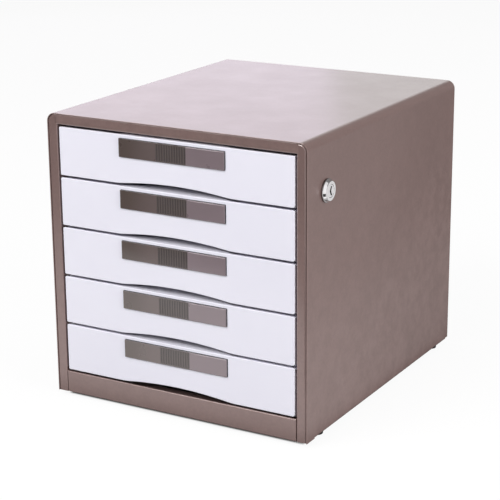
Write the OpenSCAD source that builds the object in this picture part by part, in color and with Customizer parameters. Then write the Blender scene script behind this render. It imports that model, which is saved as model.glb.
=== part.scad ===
// Desktop file cabinet: a folded steel case with stacked plastic drawers and a key lock
// in the right side that drives a locking bar. Millimetres, +Z up, the drawers face -Y.
// Origin: the middle of the footprint, on the surface that the feet stand on.
// Every drawer height below is measured up from the bottom edge of that drawer's own front.

/* [Case] */
// Outside width of the case
case_w = 298; // [285:1:330]
// Outside depth of the case
case_d = 345; // [340:1:390]
// Height of the case without its feet
case_h = 300; // [285:1:340]
// Thickness of every steel sheet
sheet = 1.2; // [0.8:0.1:1.6]
// Outside radius of the two long top edges
corner_r = 9; // [6:0.5:10]
// Width of a front post, from the case side to the drawer opening
post_w = 12; // [11:0.5:14]
// Height of the front rail over the top drawer
top_rail_h = 11.9; // [9:0.1:16]
// Height of the kick rail under the bottom drawer
kick_h = 22.8; // [18:0.1:34]
// How far the front frame sits behind the front edge of the skin
frame_setback = 0.6; // [0.4:0.1:1.5]
// Depth of the folds behind the front frame and the kick rail
frame_fold = 15; // [12:1:17]
// Open seam at each end of the kick rail
kick_seam = 0.4; // [0.2:0.1:1]
// Width of the folds along the bottom edges of the skin
bottom_fold = 20; // [19:1:26]
// Width of the rear lip that carries the back panel
rear_lip = 10; // [9:0.5:14]
// How far the back panel sits inside the rear edge
back_inset = 3; // [2.5:0.5:5]
// How far the base panel reaches over the kick rail's lower fold
base_tongue = 5; // [2:0.5:10]

/* [Screws] */
// Radius of a screw shank
screw_r = 1.5; // [1.2:0.1:1.8]
// Radius of a screw head
screw_head_r = 3; // [2.6:0.1:3.2]
// Height of a screw head
screw_head_h = 1.6; // [1.2:0.1:2]
// Radial clearance round a screw shank
screw_clear = 0.15; // [0.05:0.05:0.3]

/* [Feet] */
// Height of a rubber foot
foot_h = 5; // [4:0.5:9]
// Radius of a foot where it meets the case
foot_r = 7.5; // [6:0.5:10]
// How much narrower a foot's radius is at the bottom
foot_taper = 0.5; // [0:0.5:2]
// Distance from the case side to the rim of a foot
foot_edge = 2.5; // [1:0.5:4]
// Distance from the front of the case to the axis of a front foot
foot_front = 40; // [29:1:60]
// Distance from the rear of the case to the axis of a rear foot
foot_rear = 25; // [24:1:60]

/* [Drawer fronts] */
// Gap round every drawer front
gap = 1.8; // [1:0.1:2]
// Thickness of a front panel
front_t = 2.8; // [2.4:0.1:3.4]
// How far a front sits behind the front edge of the skin
front_setback = 0.8; // [0.7:0.1:2]
// Radius of the corners of a front
front_corner_r = 2.5; // [1:0.5:5]
// Depth of the hollow front, from its face to the tray
front_hollow = 17.2; // [16:0.2:22]
// Thickness of the walls folded back from a front panel
return_t = 1.8; // [1.4:0.1:2.4]
// How far the top wall of a front lies below its top edge
ledge_step = 1.5; // [0.8:0.1:2]
// Width of the finger arch in the bottom edge
arch_w = 126; // [90:1:150]
// Rise of the finger arch
arch_rise = 4.4; // [3:0.1:6]
// Depth of the crescent shelf that shows through the arch above
crescent_d = 13.5; // [8:0.5:14]
// Radius of a screw boss behind a front
boss_r = 4; // [3.4:0.1:5]
// Distance of a screw boss from the middle of the front
boss_x = 100; // [85:1:112]
// Height of the lower screw bosses
boss_z = 15; // [14:1:18]
// Distance between a lower and an upper screw boss
boss_step = 21; // [12:1:22]

/* [Label plates] */
// Width of a label plate
plate_w = 123; // [90:1:150]
// Height of a label plate
plate_h = 19.9; // [14:0.1:20.5]
// Depth of the pocket that a label plate sits in
pocket_d = 1.2; // [0.9:0.1:1.5]
// How far a label plate stands out of the front
plate_proud = 1.6; // [0.5:0.1:2.4]
// Distance from the top edge of the front to the label plate
plate_top = 3.2; // [2.8:0.1:7]
// Clearance round a label plate in its pocket
plate_clear = 0.3; // [0.1:0.05:0.5]
// Number of grip grooves in a label plate
groove_count = 12; // [5:1:15]
// Distance between the grip grooves
groove_pitch = 2.9; // [2.4:0.1:4]
// Width of a grip groove
groove_w = 1.6; // [0.8:0.1:1.8]
// Depth of a grip groove
groove_d = 0.5; // [0.3:0.1:0.8]
// Height of plain plate over and under the grip grooves
groove_end = 1; // [0.5:0.1:3]
// Radius of the clip pins behind a label plate
clip_r = 1.6; // [1.2:0.1:2]
// Distance of a clip pin from the middle of the plate
clip_x = 38; // [30:1:42]

/* [Trays] */
// Wall thickness of a tray
tray_wall = 2; // [1.6:0.1:2.6]
// Distance from the drawer opening to the side wall of a tray
tray_side = 7; // [6.5:0.1:8]
// Height of the underside of a tray
tray_z = 7.5; // [6.5:0.5:9]
// Distance from the rear of a tray to the rear lip of the case
tray_back = 15; // [11:0.5:30]
// Distance from the top of a front's inner wall down to the rim of the tray
rim_drop = 0.8; // [0.4:0.1:1.5]
// Distance from the drawer opening to the edge of a tray flange
flange_edge = 0.7; // [0.5:0.1:1]
// Thickness of a tray flange
flange_t = 2; // [1.6:0.1:2.4]
// Length of the stop ears at the rear of a tray
ear_len = 8; // [5:1:12]
// Height of the stop ears above the rim
ear_h = 3.5; // [2.5:0.1:4]
// Width of the stop ears
ear_w = 4; // [3:0.1:4.2]
// Clearance between the stop ears and the upper leg of a runner
ear_side = 0.6; // [0.4:0.1:1]

/* [Runners] */
// Thickness of the walls of a runner
runner_t = 1.2; // [1:0.1:1.4]
// Running clearance under a tray flange
runner_clear = 0.3; // [0.2:0.05:0.5]
// Running clearance over a tray flange
runner_lift = 0.4; // [0.3:0.05:0.6]
// Distance from the drawer opening out to the web of a runner
runner_out = 0.2; // [0.1:0.05:0.4]
// Distance from the side wall of a tray to the edge of a runner
runner_edge = 1.2; // [0.8:0.1:1.6]
// Distance from the catches back to the runners
runner_front = 2.5; // [1:0.5:8]
// How far the runners reach past the rear of a closed tray
runner_past = 8; // [0:0.5:10]
// Distance from the front of a runner to its stop tab
tab_front = 22.8; // [1:0.2:60]
// Thickness of the stop tab at the front of a runner
tab_t = 3; // [2:0.5:5]
// Clearance between the stop ears and the tabs with a drawer fully out
stop_gap = 0.3; // [0.2:0.1:1]
// Width of the face of an upright
upright_w = 20; // [14:1:26]
// Width of the feet of an upright on the skin
upright_foot = 7; // [5:1:10]
// Distance from the rear end of the runners to the rear uprights
upright_rear = 10; // [4:1:30]

/* [Lock] */
// Distance from the front of the case to the lock axis
lock_front = 38; // [34:0.5:60]
// Distance from the top of the case to the lock axis
lock_top = 53; // [48:1:60]
// Radius of the lock head against the skin
head_r = 11.2; // [10:0.1:12.5]
// Radius of the flat end of the lock head
head_face_r = 9.2; // [8.4:0.1:9.8]
// How far the lock head stands out of the skin
head_proud = 5.2; // [4:0.1:5.3]
// Radius of the threaded barrel
barrel_r = 6; // [5.8:0.1:7]
// Radius of the key plug
plug_r = 4.6; // [4.2:0.1:4.8]
// Radius of the disc on the face of the key plug
plug_face_r = 6.4; // [6:0.1:7]
// Running clearance of the key plug in the lock housing
plug_clear = 0.05; // [0.02:0.01:0.1]
// Thickness of the lock nut
nut_t = 2.6; // [2:0.1:2.8]
// Width of the lock nut across its flats
nut_flats = 16; // [15:0.5:18]
// Distance from the lock axis to the cam pin
cam_r = 7; // [6.5:0.1:7.2]
// Radius of the cam pin
pin_r = 2; // [1.6:0.1:2.2]
// Thickness of the cam
cam_t = 1.5; // [1.2:0.1:1.6]
// Clearance above and below the cam pin in the slot of the bar
slot_clear = 0.5; // [0.4:0.05:0.7]
// Thickness of the locking bar
bar_t = 1.5; // [1.2:0.1:1.8]
// Width of the locking bar
bar_w = 14; // [13.5:0.1:15]
// Distance from the drawer opening out to the locking bar
bar_out = 0.8; // [0.6:0.1:1]
// Clearance between the locking bar and its cam
bar_cam_gap = 0.8; // [0.5:0.1:1]
// Distance from the lock axis forward to the front edge of the locking bar
bar_fore = 1; // [0:0.1:1.4]
// Clearance of the locking bar in its guides
guide_clear = 0.3; // [0.2:0.05:0.4]
// Height of a locking finger
finger_h = 7; // [5:0.5:8]
// Distance from a finger's inner end to the side wall of a tray
finger_edge = 1.6; // [1:0.1:2]
// Height of the catch on a tray
catch_z = 26; // [25:0.5:27]
// Thickness of the catch from bottom to top
catch_h = 6; // [4:0.5:7]
// Length of the catch from front to back
catch_len = 6.5; // [4:0.5:8]
// Free height between an open finger and the catch over it
catch_clear = 3; // [2:0.5:4]

/* [Hidden] */
level_count = 5;
LEVELS = [1:level_count];                // drawer 1 is the top one
SIDES = [["left", -1], ["right", 1]];
lap = 0.01;                              // joins two shapes of one piece
$fn = 64;

// Case planes
front_y = -case_d / 2;
rear_y = case_d / 2;
floor_z = foot_h;
top_z = foot_h + case_h;
side_x = case_w / 2;
skin_x = side_x - sheet;                 // inner face of the skin
open_x = side_x - post_w;                // side of the drawer opening
open_z0 = floor_z + kick_h;
open_z1 = top_z - top_rail_h;
frame_y = front_y + frame_setback;
fold_y = frame_y + frame_fold;           // rear edge of the frame's inner folds
rim_fold_y = fold_y - 5;                 // rear edge of its folds against the skin
base_z = floor_z + sheet;
back_y = rear_y - back_inset;            // outer face of the back panel
lip_y = back_y - 2 * sheet;              // inner face of the rear lip

// Back screws: [x, z] in the middle of the rear lip
lip_x = skin_x - rear_lip / 2;
lip_top_z = top_z - sheet - rear_lip / 2;
lip_low_z = base_z + rear_lip / 2;
back_screw_x = case_w / 4;
back_screw_rows = [case_h * 0.15, case_h * 0.5, case_h * 0.85];
back_screw_at = concat(
  [for (s = [-1, 1]) for (h = back_screw_rows) [s * lip_x, floor_z + h]],
  [for (s = [-1, 1]) for (z = [lip_low_z, lip_top_z]) [s * back_screw_x, z]]
);
back_screw_len = 4 * sheet;

// Feet: [x, y] of each axis
foot_x = side_x - foot_edge - foot_r;
foot_front_y = front_y + foot_front;
foot_rear_y = rear_y - foot_rear;
foot_sink = screw_head_h + 0.8;          // depth of the hole that hides a screw head
foot_head_clear = 0.4;

// Base and back panels
base_side = 0.2;
panel_rim = 0.3;

// Drawer levels
front_h = (open_z1 - open_z0 - (level_count + 1) * gap) / level_count;
pitch = front_h + gap;
function drawer_z(n) = open_z0 + gap + (level_count - n) * pitch;

// Drawer fronts
face_y = front_y + front_setback;
panel_y = face_y + front_t;              // rear face of the panel
tray_y = face_y + front_hollow;          // front face of the tray
front_x = open_x - gap;
ledge_z = front_h - ledge_step;          // top of the inner top wall
arch_r = (pow(arch_w / 2, 2) + pow(arch_rise, 2)) / (2 * arch_rise);
crescent_r = (pow(arch_w / 2, 2) + pow(crescent_d, 2)) / (2 * crescent_d);
sill_z = 0.8;                            // underside of the inner bottom walls
sill_edge = 4;                           // from the arch to the bottom walls
plate_z = front_h - plate_top - plate_h;
plate_t = pocket_d + plate_proud;
plate_y = face_y - plate_proud;
clip_z = plate_z + plate_h / 2;
clip_end = 0.8;                          // how far a clip pin comes out behind the panel
pilot_depth = front_hollow - front_t - 3;

// Trays
tray_x = open_x - tray_side;
tray_rim = ledge_z - return_t - rim_drop;
tray_end = lip_y - tray_back;
flange_x = open_x - flange_edge;
flange_z = tray_rim - flange_t;
ear_y = tray_end - ear_len;
front_screw_len = 10;

// Lock
lock_y = front_y + lock_front;
lock_z = top_z - lock_top;
rest_angle = -45;                        // direction of the cam pin when unlocked
pin_drop = cam_r * sin(-rest_angle);
bar_travel = 2 * pin_drop;
bar_x = open_x + bar_out;
cam_x = bar_x + bar_t + bar_cam_gap;     // inner face of the cam
plug_end_x = cam_x + cam_t;
barrel_end_x = plug_end_x + 0.5;
plug_disc_t = 1.9;
plug_face_x = side_x + head_proud - 0.3;
key_h = 7.6;
key_w = 1.3;
key_depth = 7;
cam_hub_r = 5.2;
cam_rim = 1.5;
cam_seat = cam_t - 0.2;                  // depth of the countersink
cam_screw_r = 1.5;
cam_screw_len = 5;
cam_head_r = 2.8;

// Locking bar
pin_y = lock_y + cam_r * cos(rest_angle);
pin_past = 0.6;                          // how far the pin comes through the bar
slot_end = 0.4;
slot_z = lock_z - pin_drop;
slot_y0 = pin_y - pin_r - slot_end;
slot_y1 = lock_y + cam_r + pin_r + slot_end;
bar_y0 = lock_y - bar_fore;
bar_y1 = bar_y0 + bar_w;
finger_t = 1.5;
finger_z = catch_z - catch_clear - finger_h;
finger_x = tray_x + finger_edge;
catch_gap = 0.5;
catch_y = bar_y1 + catch_gap;
catch_x = flange_x - 0.7;
guide_t = 1.5;
guide_z = 4;                             // above the bottom of a drawer front
guide_rim = 3;
guide_fold = 10;
guide_x = tray_x + 3;
guide_low_z = drawer_z(level_count) + guide_z;
guide_high_z = drawer_z(2) + guide_z;
bar_low_z = guide_low_z - 8;
bar_top_z = max(drawer_z(1) + finger_z + finger_h, slot_z + pin_r + slot_clear) + 4;
shoulder_h = 5;
shoulder_w = 1.5;

// Runners
web_x = open_x + runner_out;
runner_x = web_x + runner_t;             // outer face, against the uprights
runner_y = catch_y + catch_len + runner_front;
runner_end = tray_end + runner_past;
lower_leg_z = flange_z - runner_clear - runner_t;
upper_leg_z = tray_rim + runner_lift;
upper_leg_x = tray_x + ear_w + ear_side; // leaves room for the stop ears
tab_y = runner_y + tab_front;
tab_top = tray_rim + ear_h;
upright_top = top_z - corner_r - 1;

// Colours
TAUPE = [0.52, 0.46, 0.44];
DARK_TAUPE = [0.43, 0.38, 0.36];
PLATE = [0.47, 0.42, 0.40];
WHITE = [0.91, 0.90, 0.95];
ZINC = [0.70, 0.71, 0.73];
CHROME = [0.86, 0.87, 0.89];
BLACK = [0.09, 0.09, 0.10];

// ---------------------------------------------------------------- helpers

function arc(centre, r, from, to, steps) =
  [for (i = [0:steps]) let (a = from + (to - from) * i / steps) centre + r * [cos(a), sin(a)]];

function backwards(points) = [for (i = [len(points) - 1:-1:0]) points[i]];

// Open outline over a round-shouldered top, from the left foot to the right foot
function roof(half, z0, z1, r) = concat(
  [[-half, z0]],
  arc([-half + r, z1 - r], r, 180, 90, 16),
  arc([half - r, z1 - r], r, 90, 0, 16),
  [[half, z0]]
);

function round_rect(half, z0, z1, r) = concat(
  arc([half - r, z0 + r], r, -90, 0, 8),
  arc([half - r, z1 - r], r, 0, 90, 8),
  arc([-half + r, z1 - r], r, 90, 180, 8),
  arc([-half + r, z0 + r], r, 180, 270, 8)
);

module block(low, high) {
  translate(low) cube(high - low);
}

// A shape drawn in X and Z, filling y0 to y1
module along_y(y0, y1) {
  translate([0, y1, 0]) rotate([90, 0, 0]) linear_extrude(y1 - y0) children();
}

// A round bar along +Y
module rod_y(at, r, len) {
  translate(at) rotate([-90, 0, 0]) cylinder(r = r, h = len);
}

// A round bar along +X
module rod_x(at, r, len) {
  translate(at) rotate([0, 90, 0]) cylinder(r = r, h = len);
}

// The same piece on the left (-1) or the right (1) side
module on_side(side) {
  if (side < 0) mirror([1, 0, 0]) children();
  else children();
}

module both_sides() {
  for (side = [-1, 1]) on_side(side) children();
}

// ---------------------------------------------------------------- case

module case_skin() {
  inner_r = corner_r - sheet;
  outside = roof(side_x, floor_z, top_z, corner_r);
  inside = roof(skin_x, floor_z, top_z - sheet, inner_r);
  lip_inside = roof(skin_x - rear_lip, floor_z, top_z - sheet - rear_lip, sheet);
  color(TAUPE) difference() {
    union() {
      along_y(front_y, rear_y) polygon(concat(outside, backwards(inside)));
      along_y(lip_y, lip_y + sheet) polygon(concat(inside, backwards(lip_inside)));
      both_sides() block([side_x - bottom_fold, fold_y + 1, floor_z], [skin_x + lap, lip_y, base_z]);
    }
    for (at = back_screw_at)
      rod_y([at[0], lip_y - 1, at[1]], screw_r + screw_clear, sheet + 2);
    for (y = [foot_front_y, foot_rear_y], side = [-1, 1])
      translate([side * foot_x, y, floor_z - 1]) cylinder(r = screw_r + screw_clear, h = sheet + 2);
    rod_x([skin_x - 1, lock_y, lock_z], barrel_r + screw_clear, sheet + 2);
  }
}

module front_frame() {
  head = roof(skin_x, floor_z, top_z - sheet, corner_r - sheet);
  opening = [[open_x, floor_z], [open_x, open_z1], [-open_x, open_z1], [-open_x, floor_z]];
  shoulder_z = top_z - corner_r;
  color(TAUPE) union() {
    along_y(frame_y, frame_y + sheet) polygon(concat(head, opening));
    both_sides() {
      block([open_x, frame_y, floor_z], [open_x + sheet, fold_y, open_z1 + sheet]);
      block([skin_x - sheet, frame_y, floor_z], [skin_x, rim_fold_y, shoulder_z]);
    }
    block([-open_x, frame_y, open_z1], [open_x, fold_y, open_z1 + sheet]);
    block([-open_x, frame_y, top_z - 2 * sheet], [open_x, rim_fold_y, top_z - sheet]);
  }
}

module kick_rail() {
  x = open_x - kick_seam;
  color(TAUPE) union() {
    block([-x, frame_y, floor_z], [x, frame_y + sheet, open_z0]);
    block([-x, frame_y, open_z0 - sheet], [x, fold_y, open_z0]);
    block([-x, frame_y, floor_z], [x, fold_y, base_z]);
  }
}

module base_panel() {
  x = skin_x - base_side;
  tongue_x = open_x - kick_seam;
  flap_x = back_screw_x + rear_lip;
  color(DARK_TAUPE) difference() {
    union() {
      block([-x, fold_y + base_side, base_z], [x, lip_y, base_z + sheet]);
      block([-tongue_x, fold_y - base_tongue, base_z], [tongue_x, fold_y + 1, base_z + sheet]);
      block([-flap_x, lip_y - lap, base_z], [flap_x, lip_y + sheet, base_z + rear_lip]);
    }
    for (y = [foot_front_y, foot_rear_y], side = [-1, 1])
      translate([side * foot_x, y, base_z - 1]) cylinder(r = screw_r + screw_clear, h = sheet + 2);
    for (side = [-1, 1])
      rod_y([side * back_screw_x, lip_y - 1, lip_low_z], screw_r + screw_clear, sheet + 2);
  }
}

module back_panel() {
  color(DARK_TAUPE) difference() {
    along_y(back_y - sheet, back_y) polygon(roof(
      skin_x - panel_rim, floor_z + panel_rim, top_z - sheet - panel_rim, corner_r - sheet - panel_rim
    ));
    for (at = back_screw_at)
      rod_y([at[0], back_y - sheet - 1, at[1]], screw_r + screw_clear, sheet + 2);
  }
}

module back_screws() {
  color(ZINC)
    for (at = back_screw_at) {
      rod_y([at[0], back_y, at[1]], screw_head_r, screw_head_h);
      rod_y([at[0], back_y - back_screw_len, at[1]], screw_r, back_screw_len + lap);
    }
}

// Hat section between the skin and the runners
module upright(side, y0) {
  y1 = y0 + upright_w;
  color(DARK_TAUPE) on_side(side) translate([0, 0, base_z + sheet])
    linear_extrude(upright_top - base_z - sheet) polygon([
      [skin_x, y0 - upright_foot], [skin_x, y0 + sheet], [runner_x + sheet, y0 + sheet],
      [runner_x + sheet, y1 - sheet], [skin_x, y1 - sheet], [skin_x, y1 + upright_foot],
      [skin_x - sheet, y1 + upright_foot], [skin_x - sheet, y1], [runner_x, y1],
      [runner_x, y0], [skin_x - sheet, y0], [skin_x - sheet, y0 - upright_foot]
    ]);
}

// C-shaped runner that holds one tray flange between its legs
module runner(side, n) {
  z = drawer_z(n);
  edge_x = tray_x + runner_edge;
  color(ZINC) on_side(side) union() {
    block([web_x, runner_y, z + lower_leg_z], [runner_x, runner_end, z + upper_leg_z + runner_t]);
    block([edge_x, runner_y, z + lower_leg_z], [runner_x, runner_end, z + lower_leg_z + runner_t]);
    block([upper_leg_x, runner_y, z + upper_leg_z], [runner_x, runner_end, z + upper_leg_z + runner_t]);
    block([edge_x, tab_y, z + upper_leg_z], [upper_leg_x + 1, tab_y + tab_t, z + tab_top]);
  }
}

// ---------------------------------------------------------------- feet

module foot(side, y) {
  color(BLACK) translate([side * foot_x, y, 0]) difference() {
    cylinder(r1 = foot_r - foot_taper, r2 = foot_r, h = foot_h);
    translate([0, 0, -1]) cylinder(r = screw_r + screw_clear, h = foot_h + 2);
    translate([0, 0, -1]) cylinder(r = screw_head_r + foot_head_clear, h = foot_sink + 1);
  }
}

module foot_screws() {
  color(ZINC)
    for (y = [foot_front_y, foot_rear_y], side = [-1, 1])
      translate([side * foot_x, y, foot_sink - screw_head_h]) {
        cylinder(r = screw_head_r, h = screw_head_h);
        cylinder(r = screw_r, h = screw_head_h + foot_h - foot_sink + 2 * sheet);
      }
}

// ---------------------------------------------------------------- drawers

module front_panel() {
  difference() {
    along_y(face_y, panel_y) polygon(round_rect(front_x, 0, front_h, front_corner_r));
    rod_y([0, face_y - 1, arch_rise - arch_r], arch_r, front_t + 2, $fn = 360);
    block(
      [-plate_w / 2 - plate_clear, face_y - 1, plate_z - plate_clear],
      [plate_w / 2 + plate_clear, face_y + pocket_d, plate_z + plate_h + plate_clear]
    );
    for (side = [-1, 1]) rod_y([side * clip_x, face_y, clip_z], clip_r + screw_clear, front_t + 1);
  }
}

// Shelf with a curved rear edge, level with the top of the panel
module crescent() {
  intersection() {
    translate([0, panel_y + crescent_d - crescent_r, ledge_z - lap])
      cylinder(r = crescent_r, h = ledge_step + lap, $fn = 180);
    block([-arch_w / 2, panel_y - lap, ledge_z - lap], [arch_w / 2, tray_y, front_h]);
  }
}

module drawer_front(n) {
  wall_z = ledge_z - return_t;
  sill_x = arch_w / 2 + sill_edge;
  color(WHITE) translate([0, 0, drawer_z(n)]) difference() {
    union() {
      front_panel();
      block([-front_x + lap, panel_y - lap, wall_z], [front_x - lap, tray_y, ledge_z]);
      crescent();
      both_sides() {
        block([front_x - return_t, panel_y - lap, sill_z], [front_x - lap, tray_y, ledge_z]);
        block([sill_x, panel_y - lap, sill_z], [front_x - lap, tray_y - 1, sill_z + return_t]);
        for (z = [boss_z, boss_z + boss_step])
          rod_y([boss_x, panel_y - lap, z], boss_r, tray_y - panel_y + lap);
      }
    }
    for (side = [-1, 1], z = [boss_z, boss_z + boss_step])
      rod_y([side * boss_x, tray_y - pilot_depth, z], screw_r + screw_clear, pilot_depth + 1);
  }
}

module label_plate(n) {
  first_x = -(groove_count - 1) * groove_pitch / 2 - groove_w / 2;
  color(PLATE) translate([0, 0, drawer_z(n)]) union() {
    difference() {
      block([-plate_w / 2, plate_y, plate_z], [plate_w / 2, plate_y + plate_t, plate_z + plate_h]);
      for (i = [0:groove_count - 1])
        translate([first_x + i * groove_pitch, plate_y - 1, plate_z + groove_end])
          cube([groove_w, groove_d + 1, plate_h - 2 * groove_end]);
    }
    for (side = [-1, 1])
      rod_y([side * clip_x, plate_y + plate_t - lap, clip_z], clip_r, front_t - pocket_d + clip_end);
  }
}

module drawer_tray(n) {
  color(WHITE) translate([0, 0, drawer_z(n)]) difference() {
    block([-tray_x, tray_y, tray_z], [tray_x, tray_end, tray_rim]);
    block(
      [-tray_x + tray_wall, tray_y + tray_wall, tray_z + tray_wall],
      [tray_x - tray_wall, tray_end - tray_wall, tray_rim + 1]
    );
    for (side = [-1, 1], z = [boss_z, boss_z + boss_step])
      rod_y([side * boss_x, tray_y - 1, z], screw_r + screw_clear, tray_wall + 2);
  }
}

// Flanges that run in the runners, each with a stop ear, and the catch for the lock
module drawer_slides(n) {
  color(WHITE) translate([0, 0, drawer_z(n)]) {
    both_sides() union() {
      block([tray_x, runner_y, flange_z], [flange_x, tray_end, tray_rim]);
      block([tray_x - tray_wall, ear_y, tray_rim], [tray_x + ear_w, tray_end, tray_rim + ear_h]);
    }
    block([tray_x, catch_y, catch_z], [catch_x, catch_y + catch_len, catch_z + catch_h]);
  }
}

module drawer_screws(n) {
  color(ZINC) translate([0, 0, drawer_z(n)])
    for (side = [-1, 1], z = [boss_z, boss_z + boss_step]) {
      rod_y([side * boss_x, tray_y + tray_wall, z], screw_head_r, screw_head_h);
      rod_y([side * boss_x, tray_y + tray_wall - front_screw_len, z], screw_r, front_screw_len + lap);
    }
}

// ---------------------------------------------------------------- lock

module lock_housing() {
  color(CHROME) translate([0, lock_y, lock_z]) rotate([0, 90, 0]) rotate_extrude() polygon([
    [plug_r + plug_clear, barrel_end_x], [barrel_r, barrel_end_x], [barrel_r, side_x],
    [head_r, side_x], [head_r, side_x + 1.2], [head_face_r + 0.5, side_x + head_proud - 0.5],
    [head_face_r, side_x + head_proud], [plug_face_r + plug_clear, side_x + head_proud],
    [plug_face_r + plug_clear, plug_face_x - plug_disc_t - plug_clear],
    [plug_r + plug_clear, plug_face_x - plug_disc_t - plug_clear]
  ]);
}

module lock_nut() {
  color(ZINC) translate([skin_x - nut_t, lock_y, lock_z]) rotate([0, 90, 0]) difference() {
    cylinder(r = nut_flats / 2 / cos(30), h = nut_t, $fn = 6);
    translate([0, 0, -1]) cylinder(r = barrel_r + plug_clear, h = nut_t + 2);
  }
}

module lock_plug() {
  color(CHROME) difference() {
    union() {
      rod_x([plug_end_x, lock_y, lock_z], plug_r, plug_face_x - plug_end_x - lap);
      rod_x([plug_face_x - plug_disc_t, lock_y, lock_z], plug_face_r, plug_disc_t);
    }
    block(
      [plug_face_x - key_depth, lock_y - key_w / 2, lock_z - key_h / 2],
      [plug_face_x + 1, lock_y + key_w / 2, lock_z + key_h / 2]
    );
    rod_x([plug_end_x - 1, lock_y, lock_z], cam_screw_r + plug_clear, cam_screw_len);
  }
}

module lock_cam() {
  reach_z = lock_z - pin_drop;
  color(ZINC) difference() {
    union() {
      rod_x([cam_x, lock_y, lock_z], cam_hub_r, cam_t);
      rod_x([cam_x, pin_y, reach_z], pin_r + cam_rim, cam_t);
      rod_x([bar_x - pin_past, pin_y, reach_z], pin_r, cam_x - bar_x + pin_past + lap);
    }
    translate([cam_x - 1, lock_y, lock_z]) rotate([0, 90, 0])
      cylinder(r = cam_screw_r + plug_clear, h = cam_t + 2);
    translate([cam_x - lap, lock_y, lock_z]) rotate([0, 90, 0])
      cylinder(r1 = cam_head_r + plug_clear, r2 = cam_screw_r + plug_clear, h = cam_seat);
  }
}

module cam_screw() {
  color(ZINC) translate([cam_x, lock_y, lock_z]) rotate([0, 90, 0]) union() {
    cylinder(r1 = cam_head_r, r2 = cam_screw_r, h = cam_seat);
    cylinder(r = cam_screw_r, h = cam_screw_len);
  }
}

module lock_bar() {
  shoulder_z = guide_low_z + guide_t + guide_clear;
  slot_half = pin_r + slot_clear;
  color(ZINC) difference() {
    union() {
      block([bar_x, bar_y0, bar_low_z], [bar_x + bar_t, bar_y1, bar_top_z]);
      block(
        [bar_x, bar_y0 - shoulder_w, shoulder_z],
        [bar_x + bar_t, bar_y1 + shoulder_w, shoulder_z + shoulder_h]
      );
    }
    block([bar_x - 1, slot_y0, slot_z - slot_half], [bar_x + bar_t + 1, slot_y1, slot_z + slot_half]);
  }
}

// One finger on the locking bar for every drawer
module lock_fingers() {
  color(ZINC)
    for (n = LEVELS)
      block(
        [finger_x, bar_y1 - finger_t, drawer_z(n) + finger_z],
        [bar_x, bar_y1, drawer_z(n) + finger_z + finger_h]
      );
}

// Angle bracket on the skin whose shelf the bar slides through
module bar_guide(z) {
  color(DARK_TAUPE) difference() {
    union() {
      block([guide_x, bar_y0 - guide_rim, z], [skin_x, bar_y1 + guide_rim, z + guide_t]);
      block([skin_x - guide_t, bar_y0 - guide_rim, z - guide_fold], [skin_x, bar_y1 + guide_rim, z + lap]);
    }
    block(
      [bar_x - guide_clear, bar_y0 - guide_clear, z - 1],
      [bar_x + bar_t + guide_clear, bar_y1 + guide_clear, z + guide_t + 1]
    );
  }
}

// ---------------------------------------------------------------- nodes

case_skin();
front_frame();
kick_rail();
base_panel();
back_panel();
back_screws();
foot_screws();
for (s = SIDES) {
  upright(s[1], runner_y + upright_foot);
  upright(s[1], runner_end - upright_rear - upright_w);
  foot(s[1], foot_front_y);
  foot(s[1], foot_rear_y);
  for (n = LEVELS)
    runner(s[1], n);
}
for (n = LEVELS) {
  drawer_tray(n);
  drawer_slides(n);
  drawer_front(n);
  drawer_screws(n);
  label_plate(n);
}
lock_housing();
lock_nut();
lock_plug();
lock_cam();
cam_screw();
lock_bar();
lock_fingers();
bar_guide(guide_high_z);  // bar_guide_upper
bar_guide(guide_low_z);  // bar_guide_lower
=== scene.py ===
import math

import bmesh
import bpy
from mathutils import Matrix, Vector


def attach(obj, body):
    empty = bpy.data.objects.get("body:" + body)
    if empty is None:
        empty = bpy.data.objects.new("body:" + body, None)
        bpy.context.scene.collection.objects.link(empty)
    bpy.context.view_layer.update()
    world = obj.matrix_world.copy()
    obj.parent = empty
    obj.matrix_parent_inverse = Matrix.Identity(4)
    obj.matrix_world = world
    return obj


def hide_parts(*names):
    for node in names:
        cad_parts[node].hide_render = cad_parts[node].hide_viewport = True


# Desktop file cabinet: a folded taupe steel case, five white drawers with grooved
# label plates, and a chrome key lock in the right side. Sizes below are millimetres
# in the frame's own axes: +X right, -Y front, +Z up.
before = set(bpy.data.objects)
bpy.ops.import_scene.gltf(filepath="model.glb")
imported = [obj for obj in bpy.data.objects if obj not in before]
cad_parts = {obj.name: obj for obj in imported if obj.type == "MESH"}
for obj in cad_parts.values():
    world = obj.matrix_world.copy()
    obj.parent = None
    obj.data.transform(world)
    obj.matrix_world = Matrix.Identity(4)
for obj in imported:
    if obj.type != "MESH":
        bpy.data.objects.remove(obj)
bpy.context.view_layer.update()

MM = 0.001
LEVELS = (1, 2, 3, 4, 5)          # 1 is the top drawer
SIDES = (("left", -1), ("right", 1))
SCREW_HEAD_R, SCREW_HEAD_H, SCREW_SHANK_R = 3.0, 1.6, 1.5
LAP = 0.3                         # how far joined walls run into each other

# Case
SIDE_X, FRONT_Y, REAR_Y = 149.0, -172.5, 172.5
FLOOR_Z, TOP_Z = 5.0, 305.0
SHEET, CORNER_R = 1.2, 9.0
SKIN_X = SIDE_X - SHEET
HEM = 1.0                         # thickness of the skin's rolled front edge
SEAM = {"left": 0.3, "top": 0.3, "right": 0.9}   # between the hem and the front frame
SEAM_LOW = 0.35                   # those seams are no wider than this at the floor
OPEN_X = {"left": 137.3, "right": 136.6}
OPEN_Z0, OPEN_Z1 = 28.4, 293.8
FRAME_Y, FOLD_Y = -171.9, -156.9
BACK_Y, LIP_Y, LIP_WIDTH = 169.5, 167.1, 10.0
SKIRT_R, SKIRT_WIDTH = 2.0, 20.0  # folds along the bottom of the skin
FOOT_X, FOOT_ROWS, FOOT_H = 139.0, (("front", -132.5), ("rear", 147.5)), 5.0

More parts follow.
